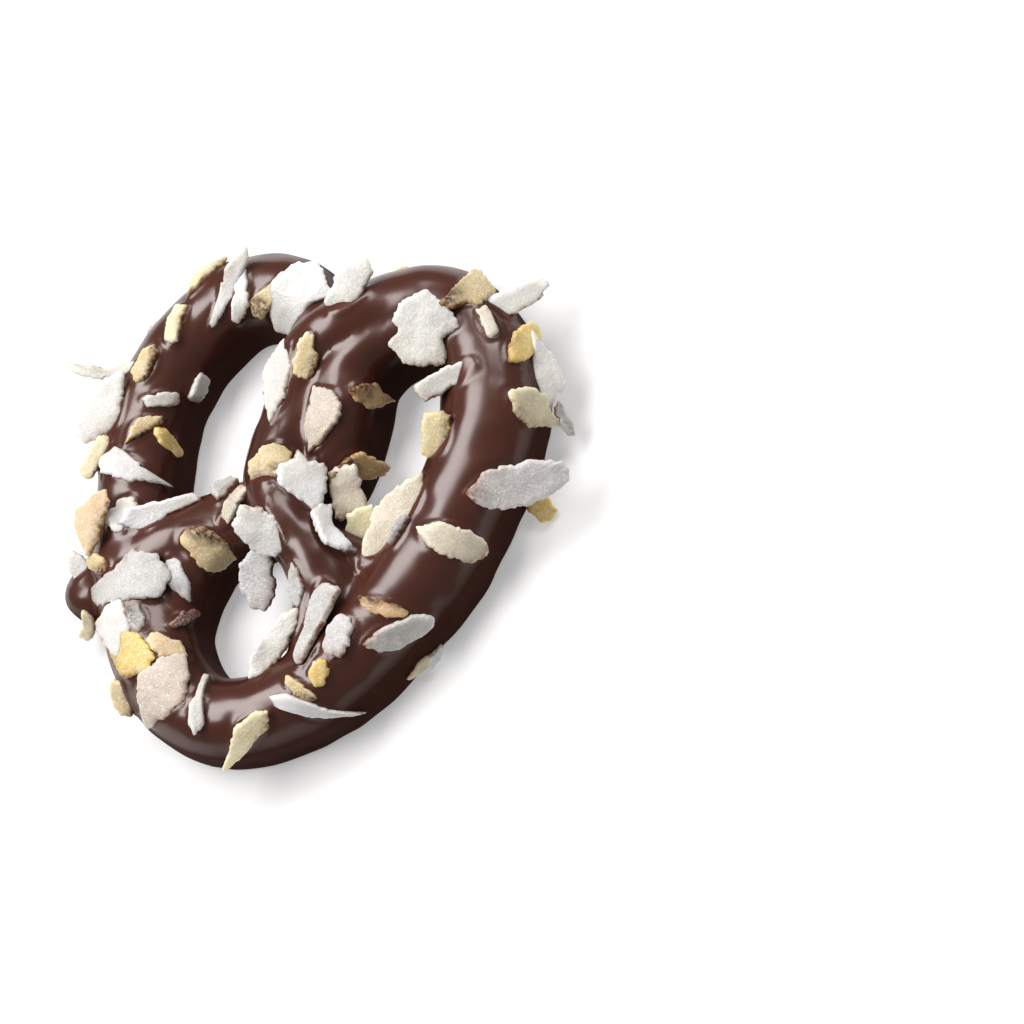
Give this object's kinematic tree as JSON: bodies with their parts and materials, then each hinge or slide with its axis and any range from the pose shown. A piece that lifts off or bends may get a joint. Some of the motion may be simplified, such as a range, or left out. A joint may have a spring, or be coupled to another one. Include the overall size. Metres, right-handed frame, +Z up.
{
  "type": "chocolate-covered pretzel",
  "caption": "Small knotted pretzel coated all over in dark chocolate, with white dried coconut flakes and golden chips set in the coat.",
  "frame": {"origin": "middle of the part's bounding box in plan, at the height of its flat foot", "axes": "+Z up from the flat foot, +Y from the bow towards the two lobes, +X towards the right lobe as seen from above with the lobes away from the viewer"},
  "size_m": [0.0526, 0.0522, 0.0113],
  "materials": {
    "dark_chocolate": "satin dark chocolate, smooth, with soft highlights",
    "coconut_white": "frosty, slightly translucent dried coconut flake",
    "golden_chip": "frosty golden dried fruit chip, darker where it sits in the coat"
  },
  "bodies": {
    "root": {"covered_pretzel": "dark_chocolate"}
  },
  "joints": []
}
